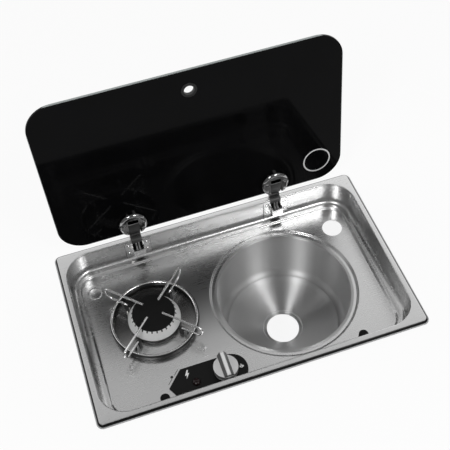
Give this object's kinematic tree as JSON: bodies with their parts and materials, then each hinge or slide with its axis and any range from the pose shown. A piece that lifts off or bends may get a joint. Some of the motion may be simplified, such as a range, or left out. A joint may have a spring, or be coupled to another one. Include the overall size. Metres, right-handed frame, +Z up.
{
  "type": "drop-in sink and gas hob unit with hinged glass lid",
  "caption": "Drop-in worktop unit: pressed steel tray with a round sink bowl, a gas burner with pan support, control knob, igniter button and a hinged black glass lid.",
  "frame": {"origin": "middle of the unit on the worktop surface, under the edge seal", "axes": "+X to the right along the unit, +Y to the back where the lid is hinged, +Z up"},
  "size_m": [0.6, 0.3999, 0.5417],
  "materials": {
    "tray_steel": "satin pressed stainless",
    "bowl_steel": "satin stainless, turned base",
    "seal_grey": "matt light grey",
    "zinc": "zinc plated",
    "panel_black": "satin black",
    "print_white": "white print",
    "print_grey": "grey print",
    "brass": "machined brass",
    "spring_steel": "spring steel",
    "housing_black": "moulded black",
    "lead_black": "insulated lead",
    "ceramic_white": "glazed ceramic",
    "copper": "drawn copper",
    "probe_nickel": "bright nickel-plated tip",
    "burner_aluminium": "cast and turned aluminium",
    "base_dark": "dark cast aluminium",
    "rubber_black": "moulded rubber",
    "bracket_steel": "bright pressed steel",
    "finger_plastic": "moulded dark grey",
    "screw_steel": "bright cross head",
    "lid_glass": "black tempered glass, ground edge",
    "grommet_black": "moulded rubber",
    "arm_dark": "dark grey coated steel",
    "cup_chrome": "polished die casting",
    "knob_silver": "satin silver grey",
    "stripe_white": "light print",
    "button_red": "dark red",
    "cap_enamel": "black enamel",
    "ring_steel": "polished steel",
    "wire_chrome": "chromed wire",
    "strap_steel": "steel strip",
    "clip_dark": "dark coated clip"
  },
  "bodies": {
    "unit": {"tray_rim": "tray_steel", "tray_wall": "tray_steel", "tray_floor": "tray_steel", "sink_bowl": "bowl_steel", "edge_seal": "seal_grey", "worktop_clamps": "zinc", "clamp_screws": "zinc", "control_panel": "panel_black", "panel_marks": "print_white", "tray_mark": "print_grey", "valve_body": "brass", "valve_bracket": "zinc", "valve_spring": "spring_steel", "igniter_housing": "housing_black", "igniter_spring": "spring_steel", "ignition_lead": "lead_black", "spark_electrode": "ceramic_white", "thermocouple": "probe_nickel", "thermocouple_lead": "copper", "burner_base": "base_dark", "gas_jet": "brass", "burner_screws": "zinc", "gas_pipe": "copper", "gas_inlet_pipe": "zinc", "pipe_nuts": "brass", "heat_shield": "zinc", "lid_bumpers": "rubber_black", "hinge_bracket_left": "bracket_steel", "hinge_bracket_right": "bracket_steel", "hinge_pin_left": "spring_steel", "hinge_pin_right": "spring_steel", "hinge_fingers": "finger_plastic", "hinge_backing_plates": "zinc", "bracket_screws": "screw_steel"},
    "lid": {"lid_glass": "lid_glass", "lid_grommet": "grommet_black", "lid_ring_print": "print_white", "hinge_arm_left": "arm_dark", "hinge_arm_right": "arm_dark", "hinge_cup_left": "cup_chrome", "hinge_cup_right": "cup_chrome", "hinge_outer_plates": "arm_dark", "cup_screws": "screw_steel"},
    "knob_collar": {"spindle_collar": "zinc"},
    "knob": {"knob": "knob_silver", "knob_stripe": "stripe_white", "knob_spindle": "brass"},
    "igniter_button": {"igniter_button": "button_red"},
    "burner_crown": {"burner_crown": "burner_aluminium"},
    "burner_cap": {"burner_cap": "cap_enamel"},
    "pan_support": {"support_ring": "ring_steel", "support_prongs": "wire_chrome", "support_straps": "strap_steel", "support_clips": "clip_dark"}
  },
  "joints": [
    {"name": "lid_hinge", "type": "hinge", "parent": "unit", "child": "lid", "pos_m": [0, 0.1775, 0.0101], "axis": [-1, 0, 0], "range_deg": [-97.16, 0]},
    {"name": "knob_push", "type": "slide", "parent": "unit", "child": "knob_collar", "axis": [0, 0, -1], "range_m": [0, 0.003], "stiffness_N_per_m": 600, "springref_m": -0.004, "deforming": ["valve_spring"]},
    {"name": "knob_turn", "type": "hinge", "parent": "knob_collar", "child": "knob", "pos_m": [-0.0618, -0.1261, -0.045], "axis": [0, 0, 1], "range_deg": [0, 210]},
    {"name": "igniter_push", "type": "slide", "parent": "unit", "child": "igniter_button", "axis": [0, 0, -1], "range_m": [0, 0.003], "stiffness_N_per_m": 500, "springref_m": -0.004, "deforming": ["igniter_spring"]},
    {"name": "crown_lift", "type": "slide", "parent": "unit", "child": "burner_crown", "axis": [0, 0, 1], "range_m": [0, 0.01]},
    {"name": "cap_lift", "type": "slide", "parent": "burner_crown", "child": "burner_cap", "axis": [0, 0, 1], "range_m": [0, 0.01]},
    {"name": "support_lift", "type": "slide", "parent": "unit", "child": "pan_support", "axis": [0, 0, 1], "range_m": [0, 0.06]}
  ]
}
